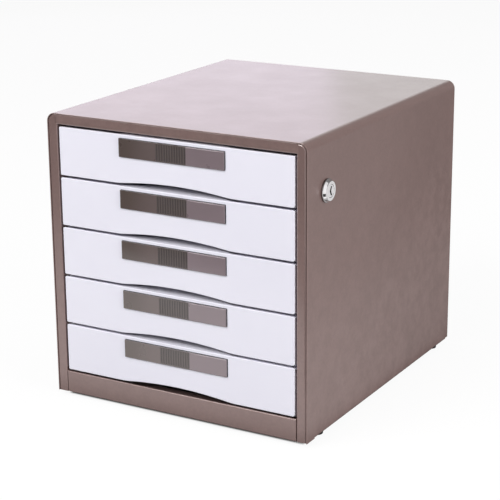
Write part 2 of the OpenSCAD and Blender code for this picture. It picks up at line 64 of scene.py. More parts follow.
# Drawers, with heights from the bottom edge of their own front
FRONT_H, PITCH = 50.9, 52.7
FACE_Y, PANEL_Y, TRAY_Y, TRAY_END = -171.7, -168.9, -154.5, 152.1
FRONT_X, TRAY_X, FLANGE_X = 135.0, 130.0, 136.3
FRONT_WALL, TRAY_WALL = 1.8, 2.0
ARCH_HALF, ARCH_RISE, ARCH_END, ARCH_EASE = 63.0, 4.4, 82.0, 8.0
CRESCENT_D, SHELF_LIFT = 14.2, 1.5
LOWEST_Z = 29.6                   # bottom edge of the lowest front
LOW_EDGE = 1.0                    # opens the gap over the front below
LEDGE_Z, TRAY_Z, TRAY_RIM = 49.4, 7.5, 46.8
PLATE_HALF, PLATE_H, PLATE_Z, PLATE_PROUD = 60.8, 18.8, 28.4, 1.6
PLATE_X, POCKET_D, WINDOW_PROUD, WINDOW_X = -1.2, 1.2, 0.2, 17.6
PLATE_Y = FACE_Y - PLATE_PROUD + WINDOW_PROUD  # the plate's face, with the window in front of it
GROOVES, GROOVE_PITCH, GROOVE_HALF = 12, 2.9, 0.8
BOSS_X, BOSS_ROWS = 100.0, (15.0, 36.0)
RAIL_FRONT, EAR_FRONT = -112.0, 144.1          # of the tray's side rails and stop ears
CATCH_Y, CATCH_Z = (-121.0, -114.5), (26.0, 32.0)

# Lock
LOCK_Y, LOCK_Z = -134.5, 252.0


def drawer_z(n):
    return LOWEST_Z + (len(LEVELS) - n) * PITCH


# ------------------------------------------------------------------ outlines

def arc(u, v, r, start, end, steps):
    turn = [math.radians(start + (end - start) * i / steps) for i in range(steps + 1)]
    return [(u + r * math.cos(a), v + r * math.sin(a)) for a in turn]


def rounded(u0, u1, v0, v1, r, steps):
    return (arc(u1 - r, v0 + r, r, -90, 0, steps) + arc(u1 - r, v1 - r, r, 0, 90, steps)
            + arc(u0 + r, v1 - r, r, 90, 180, steps) + arc(u0 + r, v0 + r, r, 180, 270, steps))


def circle(r, steps):
    turn = [2 * math.pi * i / steps for i in range(steps)]
    return [(r * math.cos(a), r * math.sin(a)) for a in turn]


def normals(points, closed):
    """Left-hand normals of the edges that follow each point."""
    out = []
    count = len(points)
    for i in range(count if closed else count - 1):
        a, b = points[i], points[(i + 1) % count]
        du, dv = b[0] - a[0], b[1] - a[1]
        length = math.hypot(du, dv) or 1.0
        out.append((-dv / length, du / length))
    return out


def inset(points, d, share):
    """Moves a closed anticlockwise outline inward; share gives each edge its part of d."""
    if d == 0:
        return list(points)
    edge = normals(points, True)
    out = []
    for i, (u, v) in enumerate(points):
        (a, b), (p, q) = edge[i - 1], edge[i]
        ka = d * (share[i - 1] if share else 1.0)
        kb = d * (share[i] if share else 1.0)
        det = a * q - b * p
        if abs(det) < 1e-4:
            k = (ka + kb) / 2
            out.append((u + k * a, v + k * b))
        else:
            out.append((u + (ka * q - kb * b) / det, v + (a * kb - p * ka) / det))
    return out


def mitres(path):
    """Step to the left of each point of an open path, for a thickness of 1."""
    edge = normals(path, False)
    out = []
    for i in range(len(path)):
        a, b = edge[max(i - 1, 0)], edge[min(i, len(edge) - 1)]
        k = 1 + a[0] * b[0] + a[1] * b[1]
        out.append(((a[0] + b[0]) / k, (a[1] + b[1]) / k))
    return out


def sheet_outline(path, t):
    """Closed outline of a bent strip: the path and its copy t to the left of it."""
    left = [(u + t * p, v + t * q) for (u, v), (p, q) in zip(path, mitres(path))]
    return path + left[::-1]


# ------------------------------------------------------------------ profiles: (inset, depth)

def round_in(r, steps):
    turn = [math.pi / 2 * i / steps for i in range(steps + 1)]
    return [(r - r * math.sin(a), r - r * math.cos(a)) for a in turn]


def round_out(r, steps, at):
    return [(d, at - w) for d, w in reversed(round_in(r, steps))]


def slab(t, front, back, steps):
    """Thickness t with a rounded edge at its front and back."""
    return round_in(front, steps) + round_out(back, steps, t)


def pan(depth, wall, front, fillet, steps=4):
    """Round edge, wall, rounded rim, then the inside of the pan with a fillet."""
    r = wall / 2
    turn = [math.pi * i / 4 for i in range(5)]
    rim = [(r - r * math.cos(a), depth - r + r * math.sin(a)) for a in turn]
    turn = [math.pi / 2 * i / steps for i in range(steps + 1)]
    base = wall + fillet
    inside = [(base - fillet * math.cos(a), base - fillet * math.sin(a)) for a in turn]
    return round_in(front, steps) + rim + inside


# ------------------------------------------------------------------ places

# Each gives a function from an outline's two axes and its depth to X, Y and Z.


def facing_front(y0, x0=0.0, z0=0.0):
    return lambda u, v, w: (x0 + u, y0 + w, z0 + v)


def facing_back(y0, x0=0.0, z0=0.0):
    return lambda u, v, w: (x0 + u, y0 - w, z0 + v)


def upward(z0, x0=0.0, y0=0.0):
    return lambda u, v, w: (x0 + u, y0 + v, z0 + w)


def along_x(x0, y0=0.0, z0=0.0):
    return lambda u, v, w: (x0 + w, y0 + u, z0 + v)


def mirrored(place):
    def other(u, v, w):
        x, y, z = place(u, v, w)
        return -x, y, z
    return other


# ------------------------------------------------------------------ mesh making

def skin_loops(bm, loops):
    for a, b in zip(loops, loops[1:]):
        for i in range(len(a)):
            j = (i + 1) % len(a)
            bm.faces.new((a[i], a[j], b[j], b[i]))


def loft(bm, rings, place, first=True, last=True):
    """Skin over outlines at their depths, closed at its first and last ring where asked."""
    loops = [[bm.verts.new(place(u, v, w)) for u, v in outline] for outline, w in rings]
    skin_loops(bm, loops)
    if first:
        bm.faces.new(loops[0])
    if last:
        bm.faces.new(loops[-1][::-1])
    return loops


def sweep(bm, outline, profile, place, share=None, first=True, last=True):
    rings = [(inset(outline, d, share), w) for d, w in profile]
    return loft(bm, rings, place, first, last)


def turned(bm, radii, place, steps, first=True, last=True):
    return loft(bm, [(circle(r, steps), w) for r, w in radii], place, first, last)


def fill_between(bm, *loops):
    """Flat face between an outer loop and the holes in it."""
    edges = []
    for loop in loops:
        for i, vert in enumerate(loop):
            edges.append(bm.edges.get((vert, loop[(i + 1) % len(loop)])))
    bmesh.ops.triangle_fill(bm, use_beauty=True, use_dissolve=False, edges=edges)


def close_ring(bm):
    """Joins the two open ends of a turned part that has a bore."""
    bmesh.ops.bridge_loops(bm, edges=[edge for edge in bm.edges if edge.is_boundary])


def block(bm, low, high, r=0.3):
    outline = rounded(low[0], high[0], low[1], high[1], r, 2)
    edge_r = 0.8 * r
    sweep(bm, outline, slab(high[2] - low[2], edge_r, edge_r, 2), upward(low[2]))


def screw(bm, place, length):
    """Pan head with a cross recess; depth 0 is the top of the head."""
    steps, point = 48, 0.6
    arm, half = 0.62 * SCREW_HEAD_R, 0.13 * SCREW_HEAD_R
    cross = []
    for i in range(steps):
        a = 2 * math.pi * i / steps
        c, s = abs(math.cos(a)), abs(math.sin(a))
        reach = min(arm / max(c, s), half / max(min(c, s), 1e-6))
        cross.append((reach * math.cos(a), reach * math.sin(a)))
    # shares of the cross and of the head's radius, each with its share of the head's height
    recess = [(0.75, 0.55), (1.0, 0.08), (1.06, 0.0)]
    head = [(0.80, 0.0), (0.93, 0.10), (0.99, 0.35), (1.0, 0.60), (1.0, 0.92), (0.96, 1.0)]
    rings = [([(k * u, k * v) for u, v in cross], w * SCREW_HEAD_H) for k, w in recess]
    rings += [(circle(k * SCREW_HEAD_R, steps), w * SCREW_HEAD_H) for k, w in head]
    shank = [(1.0, SCREW_HEAD_H), (1.0, length - point), (0.6, length)]
    rings += [(circle(k * SCREW_SHANK_R, steps), w) for k, w in shank]
    loft(bm, rings, place)


def piece(name, bm, body, finish, slot, *nodes):
    """Closes the mesh, gives it its finish, and puts it in the place of its nodes."""
    sharp_from = math.radians(38)
    bmesh.ops.recalc_face_normals(bm, faces=bm.faces)
    for face in bm.faces:
        face.smooth = True
    for edge in bm.edges:
        if len(edge.link_faces) == 2 and edge.calc_face_angle(0.0) > sharp_from:
            edge.smooth = False
    mesh = bpy.data.meshes.new(name)
    bm.to_mesh(mesh)
    bm.free()
    mesh.transform(Matrix.Scale(MM, 4))
    mesh.materials.append(finish)
    made = bpy.data.objects.new(name, mesh)
    bpy.context.scene.collection.objects.link(made)
    weighted = made.modifiers.new("even_shading", "WEIGHTED_NORMAL")
    weighted.keep_sharp = True
    weighted.weight = 80
    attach(made, body)
    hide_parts(*nodes)


# ------------------------------------------------------------------ node groups

def new_group(name, inputs, outputs):
    tree = bpy.data.node_groups.new(name, "ShaderNodeTree")
    for label, default in inputs.items():
        socket = tree.interface.new_socket(label, in_out="INPUT", socket_type="NodeSocketFloat")
        socket.default_value = default
    for label in outputs:
        tree.interface.new_socket(label, in_out="OUTPUT", socket_type="NodeSocketFloat")
    return tree, tree.nodes.new("NodeGroupInput").outputs, tree.nodes.new("NodeGroupOutput").inputs


def node(tree, kind, **values):
    made = tree.nodes.new(kind)
    for key, value in values.items():
        made.inputs[key].default_value = value
    return made


def link(tree, source, target):
    tree.links.new(source, target)


def feed(tree, value, target):
    """A number is written on the socket, and another node's output is linked to it."""
    if isinstance(value, (int, float)):
        target.default_value = value
    else:
        link(tree, value, target)


def maths(tree, operation, a, b=None, c=None, clamp=False):
    made = tree.nodes.new("ShaderNodeMath")
    made.operation, made.use_clamp = operation, clamp
    for i, value in enumerate((a, b, c)):
        if value is not None:
            feed(tree, value, made.inputs[i])
    return made.outputs[0]


def map_range(tree, value, low, high, to_low, to_high, smooth=False):
    made = tree.nodes.new("ShaderNodeMapRange")
    if smooth:
        made.interpolation_type = "SMOOTHSTEP"
    link(tree, value, made.inputs["Value"])
    bounds = {"From Min": low, "From Max": high, "To Min": to_low, "To Max": to_high}
    for label, bound in bounds.items():
        feed(tree, bound, made.inputs[label])
    return made.outputs["Result"]


def noise(tree, vector, scale, detail=2.0, roughness=0.5):
    made = node(tree, "ShaderNodeTexNoise", Detail=detail, Roughness=roughness)
    link(tree, vector, made.inputs["Vector"])
    feed(tree, scale, made.inputs["Scale"])
    return made.outputs["Fac"]


def own_place(tree):
    return tree.nodes.new("ShaderNodeTexCoord").outputs["Object"]


def surface_normal(tree):
    return tree.nodes.new("ShaderNodeNewGeometry").outputs["Normal"]


def axes_of(tree, vector):
    parts = tree.nodes.new("ShaderNodeSeparateXYZ")
    link(tree, vector, parts.inputs[0])
    return [parts.outputs[axis] for axis in "XYZ"]


def grain_group():
    """Fine bumps of powder coat or moulded plastic, and bright flakes in them."""
    tree, ins, outs = new_group("fine_grain", {"Scale": 900.0, "Flakes": 0.5}, ("Height", "Flake"))
    place, scale = own_place(tree), ins["Scale"]
    coarse = noise(tree, place, scale, 3.0, 0.6)
    fine = maths(tree, "MULTIPLY", noise(tree, place, maths(tree, "MULTIPLY", scale, 3.1)), 0.3)
    link(tree, maths(tree, "MULTIPLY_ADD", coarse, 0.7, fine), outs["Height"])
    cells = node(tree, "ShaderNodeTexVoronoi")
    link(tree, place, cells.inputs["Vector"])
    link(tree, maths(tree, "MULTIPLY", scale, 2.2), cells.inputs["Scale"])
    shine = map_range(tree, cells.outputs["Distance"], 0.05, 0.22, 1.0, 0.0)
    link(tree, maths(tree, "MULTIPLY", shine, ins["Flakes"], clamp=True), outs["Flake"])
    return tree


def drift_group():
    """Slow drift between two values over a surface; at a large scale, a fine speckle."""
    tree, ins, outs = new_group("slow_drift", {"Scale": 6.0, "Low": 0.0, "High": 1.0}, ("Value",))
    cloud = noise(tree, own_place(tree), ins["Scale"], 4.0, 0.55)
    link(tree, map_range(tree, cloud, 0.3, 0.7, ins["Low"], ins["High"]), outs["Value"])
    return tree


def rub_group():
    """Mask of the outer edges, where paint is thinner and gets rubbed."""
    tree, ins, outs = new_group("edge_rub", {"Amount": 0.3, "Breakup": 60.0}, ("Mask",))
    geometry = tree.nodes.new("ShaderNodeNewGeometry")
    ridge = map_range(tree, geometry.outputs["Pointiness"], 0.52, 0.60, 0.0, 1.0, True)
    cloud = noise(tree, own_place(tree), ins["Breakup"], 3.0, 0.6)
    patchy = maths(tree, "MULTIPLY", ridge, map_range(tree, cloud, 0.35, 0.65, 0.2, 1.0))
    link(tree, maths(tree, "MULTIPLY", patchy, ins["Amount"], clamp=True), outs["Mask"])
    return tree


def dust_group():
    """Mask of dust that settles on what faces up."""
    tree, ins, outs = new_group("settled_dust", {"Amount": 0.2}, ("Mask",))
    up = map_range(tree, axes_of(tree, surface_normal(tree))[2], 0.6, 1.0, 0.0, 1.0, True)
    cloud = noise(tree, own_place(tree), 45.0, 5.0, 0.65)
    patchy = maths(tree, "MULTIPLY", up, map_range(tree, cloud, 0.35, 0.75, 0.0, 1.0))
    link(tree, maths(tree, "MULTIPLY", patchy, ins["Amount"], clamp=True), outs["Mask"])
    return tree


def lines_group():
    """Fine lines along Y, as rolled or brushed metal has."""
    tree, ins, outs = new_group("drawn_lines", {"Along": 6.0, "Across": 900.0}, ("Height", "Tone"))
    stretch = tree.nodes.new("ShaderNodeCombineXYZ")
    for axis, label in (("X", "Across"), ("Y", "Along"), ("Z", "Across")):
        link(tree, ins[label], stretch.inputs[axis])
    scaled = tree.nodes.new("ShaderNodeVectorMath")
    scaled.operation = "MULTIPLY"
    link(tree, own_place(tree), scaled.inputs[0])
    link(tree, stretch.outputs[0], scaled.inputs[1])
    lines = noise(tree, scaled.outputs[0], 1.0, 4.0, 0.6)
    link(tree, lines, outs["Height"])
    link(tree, map_range(tree, lines, 0.3, 0.7, 0.0, 1.0), outs["Tone"])
    return tree


GRAIN, DRIFT, RUB, DUST, LINES = (
    grain_group(), drift_group(), rub_group(), dust_group(), lines_group())


# ------------------------------------------------------------------ finishes

def place_group(tree, group, **values):
    made = tree.nodes.new("ShaderNodeGroup")
    made.node_tree = group
    for key, value in values.items():
        made.inputs[key].default_value = value
    return made.outputs


def mixed(tree, factor, a, b):
    """Colour between a and b; each is a colour or the output of another mix."""
    made = tree.nodes.new("ShaderNodeMix")
    made.data_type = "RGBA"
    link(tree, factor, made.inputs["Factor"])
    for socket, value in (("A", a), ("B", b)):
        target = [s for s in made.inputs if s.name == socket and s.type == "RGBA"][0]
        if isinstance(value, tuple):
            target.default_value = value + (1.0,)
        else:
            link(tree, value, target)
    return [s for s in made.outputs if s.type == "RGBA"][0]


def brighter(colour, gain, lift=0.0):
    return tuple(min(1.0, gain * c + lift) for c in colour)


def new_finish(name, **shader_values):
    made = bpy.data.materials.new(name)
    made.use_nodes = True
    tree = made.node_tree
    shader = tree.nodes["Principled BSDF"]
    for key, value in shader_values.items():
        shader.inputs[key.replace("_", " ")].default_value = value
    return made, tree, shader


def patchy_gloss(tree, shader, scale, low, high):
    patches = place_group(tree, DRIFT, Scale=scale, Low=low, High=high)
    link(tree, patches["Value"], shader.inputs["Roughness"])


def bump(tree, shader, height, strength, distance):
    made = node(tree, "ShaderNodeBump", Strength=strength, Distance=distance)
    link(tree, height, made.inputs["Height"])
    link(tree, made.outputs["Normal"], shader.inputs["Normal"])


def painted_steel(name, light, deep, flake, rough, rub, dust):
    """Taupe powder coat with a fine pearl in it."""
    made, tree, shader = new_finish(name, Metallic=0.35, Coat_Weight=1.0, Coat_IOR=1.65,
                                    Coat_Roughness=0.20)
    grain = place_group(tree, GRAIN, Scale=1500.0, Flakes=flake)
    layers = ((place_group(tree, DRIFT, Scale=380.0, High=0.30)["Value"], brighter(deep, 0.72)),
              (grain["Flake"], brighter(light, 1.7, 0.05)),
              (place_group(tree, RUB, Amount=rub, Breakup=70.0)["Mask"],
               brighter(light, 1.5, 0.06)),
              (place_group(tree, DUST, Amount=dust)["Mask"], (0.55, 0.53, 0.52)))
    colour = mixed(tree, place_group(tree, DRIFT, Scale=5.0)["Value"], deep, light)
    for mask, over in layers:
        colour = mixed(tree, mask, colour, over)
    link(tree, colour, shader.inputs["Base Color"])
    patchy_gloss(tree, shader, 22.0, rough - 0.04, rough + 0.05)
    bump(tree, shader, grain["Height"], 0.35, 0.00012)
    return made


def moulded_plastic(name, light, deep, rough):
    """Satin plastic with the fine texture of its mould."""
    made, tree, shader = new_finish(name, IOR=1.48, Coat_Weight=0.25, Coat_Roughness=0.18)
    colour = mixed(tree, place_group(tree, DRIFT, Scale=9.0)["Value"], deep, light)
    dusty = place_group(tree, DUST, Amount=0.10)["Mask"]
    link(tree, mixed(tree, dusty, colour, (0.60, 0.58, 0.56)), shader.inputs["Base Color"])
    patchy_gloss(tree, shader, 30.0, rough - 0.03, rough + 0.04)
    grain = place_group(tree, GRAIN, Scale=700.0, Flakes=0.0)
    bump(tree, shader, grain["Height"], 0.20, 0.00006)
    return made


def plate_with_painted_light(name):
    """Glossy taupe: painted reflection dark at the left and pale in the window; painted shade in
    the grip, the grooves and the black edges.
    """
    made, tree, shader = new_finish(name, Metallic=0.20, Coat_Weight=1.0, Coat_IOR=1.7,
                                    Coat_Roughness=0.10)
    grip_x0, window_x0 = (PLATE_X - WINDOW_X) * MM, (PLATE_X + WINDOW_X - 0.2) * MM
    groove_shade_y0, groove_shade_y1 = (PLATE_Y + 0.05) * MM, (PLATE_Y + 0.25) * MM
    painted_reflection_x0, painted_reflection_x1 = (PLATE_X - PLATE_HALF + 3.0) * MM, (PLATE_X - WINDOW_X - 2.2) * MM
    grain = place_group(tree, GRAIN, Scale=1900.0, Flakes=0.25)
    x, y, _ = axes_of(tree, own_place(tree))
    window = maths(tree, "GREATER_THAN", x, window_x0)
    grip = maths(tree, "MULTIPLY", maths(tree, "GREATER_THAN", x, grip_x0),
                 maths(tree, "LESS_THAN", x, window_x0))
    faint = maths(tree, "MULTIPLY", place_group(tree, DRIFT, Scale=14.0)["Value"], 0.18)
    normal_y_for_edge_shade = axes_of(tree, surface_normal(tree))[1]
    # painted shade: darker in the grip (which is also rougher) and in the grooves, black on the
    # sides and edges that turn away; the window's pale lilac is a painted reflection
    layers = ((grip, (0.100, 0.075, 0.071)),
              (map_range(tree, y, groove_shade_y0, groove_shade_y1, 0.0, 1.0), (0.052, 0.038, 0.036)),
              (window, (0.250, 0.192, 0.212)),
              (faint, (0.13, 0.10, 0.095)),
              (grain["Flake"], (0.26, 0.22, 0.21)),
              (map_range(tree, normal_y_for_edge_shade, -0.75, -0.35, 0.0, 1.0, True), (0.012, 0.012, 0.018)))
    # painted reflection: the plate darkens towards its left end
    left = map_range(tree, x, painted_reflection_x0, painted_reflection_x1, 0.0, 1.0, True)
    colour = mixed(tree, left, (0.094, 0.067, 0.058), (0.145, 0.106, 0.102))
    for mask, over in layers:
        colour = mixed(tree, mask, colour, over)
    link(tree, colour, shader.inputs["Base Color"])
    patches = place_group(tree, DRIFT, Scale=40.0, Low=0.26, High=0.34)["Value"]
    link(tree, maths(tree, "MULTIPLY_ADD", grip, 0.15, patches), shader.inputs["Roughness"])
    bump(tree, shader, grain["Height"], 0.15, 0.00006)
    return made


def lock_face(tree, colour, rough, metallic):
    """Satin white on what faces right; painted shade: black down the keyway, and dark at the case
    around the foot of the flange.
    """
    keyhole_x, keyhole_r = (SIDE_X + 4.6) * MM, 5.2 * MM
    crevice_x0, crevice_x1 = (SIDE_X + 1.7) * MM, (SIDE_X + 2.0) * MM
    x, y, z = axes_of(tree, own_place(tree))
    face = map_range(tree, axes_of(tree, surface_normal(tree))[0], 0.90, 0.98, 0.0, 1.0, True)
    link(tree, map_range(tree, face, 0.0, 1.0, 1.0, 0.50), metallic)
    off_y = maths(tree, "SUBTRACT", y, LOCK_Y * MM)
    off_z = maths(tree, "SUBTRACT", z, LOCK_Z * MM)
    squares = maths(tree, "MULTIPLY_ADD", off_y, off_y, maths(tree, "MULTIPLY", off_z, off_z))
    # painted shade: black down the keyway, deeper than its face
    keyhole_shade = maths(tree, "MULTIPLY", maths(tree, "LESS_THAN", x, keyhole_x),
                    maths(tree, "LESS_THAN", maths(tree, "SQRT", squares), keyhole_r))
    # painted shade: darker within 2 mm of the case, at the foot of the flange
    crevice_shade = map_range(tree, x, crevice_x0, crevice_x1, 1.0, 0.0)
    colour = mixed(tree, keyhole_shade, colour, (0.012, 0.012, 0.014))
    colour = mixed(tree, crevice_shade, colour, (0.20, 0.18, 0.18))
    return colour, maths(tree, "MULTIPLY_ADD", face, 0.22, rough)


def plated(name, light, deep, rough, line_depth, is_lock=False):
    """Bare plated metal with drawn lines."""
    made, tree, shader = new_finish(name, Metallic=1.0)
    lines = place_group(tree, LINES, Along=8.0, Across=1400.0)
    colour = mixed(tree, place_group(tree, DRIFT, Scale=35.0)["Value"], deep, light)
    rough_map = map_range(tree, lines["Tone"], 0.0, 1.0, rough * 0.85, rough * 1.2)
    # the lock also gets painted shade down its keyway and at the foot of its flange
    if is_lock:
        colour, rough_map = lock_face(tree, colour, rough_map, shader.inputs["Metallic"])
    link(tree, colour, shader.inputs["Base Color"])
    link(tree, rough_map, shader.inputs["Roughness"])
    bump(tree, shader, lines["Height"], line_depth, 0.00004)
    return made


def foot_rubber(name):
    made, tree, shader = new_finish(name)
    drift = place_group(tree, DRIFT, Scale=60.0)["Value"]
    colour = mixed(tree, drift, (0.010, 0.010, 0.011), (0.022, 0.021, 0.021))
    worn = place_group(tree, RUB, Amount=0.5, Breakup=200.0)["Mask"]
    link(tree, mixed(tree, worn, colour, (0.06, 0.058, 0.055)), shader.inputs["Base Color"])
    patchy_gloss(tree, shader, 80.0, 0.68, 0.85)
    grain = place_group(tree, GRAIN, Scale=1100.0, Flakes=0.0)
    bump(tree, shader, grain["Height"], 0.5, 0.0002)
    return made


CASE_PAINT = painted_steel("taupe_powder_coat", light=(0.252, 0.162, 0.149),
                           deep=(0.228, 0.146, 0.134), flake=0.15, rough=0.40, rub=0.25, dust=0.03)
INNER_PAINT = painted_steel("taupe_inner_coat", light=(0.165, 0.112, 0.106),
                            deep=(0.140, 0.096, 0.090), flake=0.10, rough=0.50, rub=0.30, dust=0.25)
WHITE_PLASTIC = moulded_plastic("white_drawer_plastic", light=(0.840, 0.825, 0.910),
                                deep=(0.815, 0.800, 0.890), rough=0.36)
PLATE_PLASTIC = plate_with_painted_light("label_plate_with_painted_light")
CHROME = plated("lock_chrome", light=(0.90, 0.88, 0.89), deep=(0.83, 0.81, 0.82), rough=0.09,
                line_depth=0.02, is_lock=True)
ZINC = plated("zinc_plate", light=(0.70, 0.70, 0.71), deep=(0.58, 0.59, 0.61), rough=0.34,
              line_depth=0.20)
RUBBER = foot_rubber("black_foot_rubber")


# ------------------------------------------------------------------ case

def roof(half, z0, z1, r, steps=10):
    return ([(half, z0)] + arc(half - r, z1 - r, r, 0, 90, steps)
            + arc(-half + r, z1 - r, r, 90, 180, steps) + [(-half, z0)])


def rolled_sheet(bm, path, t, y0, y1, hem=0.0):
    """Sheet on the left of a path in X and Z; a hem is the thickness of its rolled front edge."""
    r = 0.4
    if hem:
        h, hem_y, sheet_y = hem / 2, y0 + 3.2, y0 + 4.0
        front = [(t, sheet_y), (hem, hem_y)] + arc(h, y0 + h, h, 0, -180, 8)
    else:
        front = arc(t - r, y0 + r, r, 0, -90, 3) + arc(r, y0 + r, r, -90, -180, 3)
    section = front + arc(r, y1 - r, r, 180, 90, 3) + arc(t - r, y1 - r, r, 90, 0, 3)
    loops = [[bm.verts.new((x + p * s, y, z + q * s)) for s, y in section]
             for (x, z), (p, q) in zip(path, mitres(path))]
    skin_loops(bm, loops)
    bm.faces.new(loops[0])
    bm.faces.new(loops[-1][::-1])


def make_case_skin():
    parting, end_gap = 0.02, 0.05     # hair-fine breaks between the strips along the lower edge
    r = SKIRT_R - parting
    skirt_y = FOLD_Y + 1
    bm = bmesh.new()
    arch = roof(SIDE_X, FLOOR_Z + SKIRT_R, TOP_Z, CORNER_R, 14)
    rolled_sheet(bm, arch, SHEET, FRONT_Y, REAR_Y, HEM)
    for _, side in SIDES:
        front = [(side * SIDE_X, FLOOR_Z), (side * SIDE_X, FLOOR_Z + r)]
        fold = [(SIDE_X - SKIRT_WIDTH, FLOOR_Z)] + arc(SIDE_X - r, FLOOR_Z + r, r, -90, 0, 5)
        fold = [(side * u, v) for u, v in fold]
        if side < 0:
            front, fold = front[::-1], fold[::-1]
        rolled_sheet(bm, front, SHEET, FRONT_Y, skirt_y, HEM)
        rolled_sheet(bm, fold, SHEET, skirt_y + end_gap, LIP_Y)
    # the lip that the back panel is screwed to
    outer = roof(SKIN_X, FLOOR_Z, TOP_Z - SHEET, CORNER_R - SHEET, 10)
    inner = roof(SKIN_X - LIP_WIDTH, FLOOR_Z, TOP_Z - SHEET - LIP_WIDTH, SHEET, 3)
    sweep(bm, outer + inner[::-1], slab(SHEET, 0.15, 0.15, 2), facing_front(LIP_Y))
    piece("case_skin", bm, "case", CASE_PAINT, "case_paint", "case_skin")


def make_front_frame():
    bm = bmesh.new()
    post_edge_r = {"left": 1.0, "right": 2.2}
    top_rim = HEM + SEAM["top"]
    for name, side in SIDES:
        x, side_rim = OPEN_X[name], HEM + SEAM[name]
        head = [(SIDE_X - CORNER_R + (CORNER_R - side_rim) * u,
                 TOP_Z - CORNER_R + (CORNER_R - top_rim) * v) for u, v in arc(0, 0, 1, 0, 90, 10)]
        low_x = SIDE_X - HEM - min(SEAM[name], SEAM_LOW)
        post = [(x, FLOOR_Z), (low_x, FLOOR_Z)] + head + [(x, TOP_Z - top_rim)]
        share = [0.15] + [1.0] * (len(post) - 1)      # hardly any rounding at the bottom end
        place = facing_front(FRAME_Y)
        sweep(bm, post, pan(FOLD_Y - FRAME_Y, SHEET, post_edge_r[name], 0.8),
              mirrored(place) if side < 0 else place, share)
    # top rail, whose ends run a little way into both posts
    low, high, low_r, high_r = OPEN_Z1, TOP_Z - top_rim, 1.2, 0.4
    reach, top_fold_y = 1.5, FOLD_Y - 5
    path = ([(top_fold_y, high)] + arc(FRAME_Y + high_r, high - high_r, high_r, 90, 180, 4)
            + arc(FRAME_Y + low_r, low + low_r, low_r, 180, 270, 5) + [(FOLD_Y, low)])
    span = OPEN_X["left"] + OPEN_X["right"] + 2 * reach
    sweep(bm, sheet_outline(path, SHEET), slab(span, 0.1, 0.1, 1), along_x(-OPEN_X["left"] - reach))
    piece("front_frame", bm, "case", CASE_PAINT, "case_paint", "front_frame")


def make_kick_rail():
    """Rail with a step behind its top edge, where the bottom front's edge comes down."""
    bm = bmesh.new()
    half, r, low_r = OPEN_X["right"], 0.9, 1.0
    ledge_y, step_y, step_z = FRAME_Y + 2.6, FRAME_Y + 5.5, OPEN_Z0 - 2.4
    path = ([(FOLD_Y, step_z), (step_y, step_z), (ledge_y, OPEN_Z0)]
            + arc(FRAME_Y + r, OPEN_Z0 - r, r, 90, 180, 5)
            + arc(FRAME_Y + low_r, FLOOR_Z + low_r, low_r, 180, 270, 4) + [(FOLD_Y, FLOOR_Z)])
    sweep(bm, sheet_outline(path, SHEET), slab(2 * half, 0.3, 0.3, 2), along_x(-half))
    piece("kick_rail", bm, "case", CASE_PAINT, "case_paint", "kick_rail")


def make_back():
    gap = 0.3
    bm = bmesh.new()
    outline = roof(SKIN_X - gap, FLOOR_Z + gap, TOP_Z - SHEET - gap, CORNER_R - SHEET - gap)
    sweep(bm, outline, slab(SHEET, 0.3, 0.1, 2), facing_back(BACK_Y))
    piece("back_panel", bm, "case", INNER_PAINT, "inner_paint", "back_panel")
    half_lip, height = LIP_WIDTH / 2, TOP_Z - FLOOR_Z
    spots = [(side * (SKIN_X - half_lip), FLOOR_Z + height * k)
             for _, side in SIDES for k in (0.15, 0.5, 0.85)]
    spots += [(side * SIDE_X / 2, z) for _, side in SIDES
              for z in (FLOOR_Z + SHEET + half_lip, TOP_Z - SHEET - half_lip)]
    bm = bmesh.new()
    for x, z in spots:
        screw(bm, facing_back(BACK_Y + SCREW_HEAD_H, x, z), length=6.4)
    piece("back_screws", bm, "case", ZINC, "zinc", "back_screws")


def make_feet():
    """Tapered rubber feet with a bore for the screw."""
    bore_r, head_well_r, well_top, low_screw = 1.65, 3.4, 2.4, 0.8
    foot = [(head_well_r, well_top), (head_well_r, 0.5), (3.6, 0.12), (4.0, 0.0), (5.5, 0.0),
            (5.9, 0.12), (6.2, 0.5), (6.3, 1.2), (6.62, 4.2), (6.7, 4.75), (6.6, FOOT_H),
            (bore_r, FOOT_H), (bore_r, well_top)]
    screws = bmesh.new()
    for row, y in FOOT_ROWS:
        for name, side in SIDES:
            bm = bmesh.new()
            turned(bm, foot, upward(0.0, side * FOOT_X, y), 48, first=False, last=False)
            close_ring(bm)
            part = f"foot_{row}_{name}"
            piece(part, bm, "case", RUBBER, "foot_rubber", part)
            screw(screws, upward(low_screw, side * FOOT_X, y), length=6.6)
    piece("foot_screws", screws, "case", ZINC, "zinc", "foot_screws")


# ------------------------------------------------------------------ drawers

def arch_height(x):
    """Lower edge of a front: a flat arch that eases into the straight edge."""
    if abs(x) > ARCH_END:
        return 0.0
    softness = 0.12                   # of the bend where the arch meets the straight edge
    bow = ARCH_RISE * (1 - (x / ARCH_HALF) ** 2)
    eased = 0.5 * (bow + math.sqrt(bow * bow + softness))
    return eased * min(1.0, (ARCH_END - abs(x)) / ARCH_EASE)


def front_outline():
    right_r, left_r, top_r, columns = 2.5, 1.3, 1.1, 64
    low = [-ARCH_END + 2 * ARCH_END * i / columns for i in range(columns + 1)]
    return ([(x, LOW_EDGE + arch_height(x)) for x in low]
            + arc(FRONT_X - right_r, LOW_EDGE + right_r, right_r, -90, 0, 5)
            + arc(FRONT_X - top_r, FRONT_H - top_r, top_r, 0, 90, 4)
            + arc(-FRONT_X + top_r, FRONT_H - top_r, top_r, 90, 180, 4)
            + arc(-FRONT_X + left_r, LOW_EDGE + left_r, left_r, 180, 270, 5))


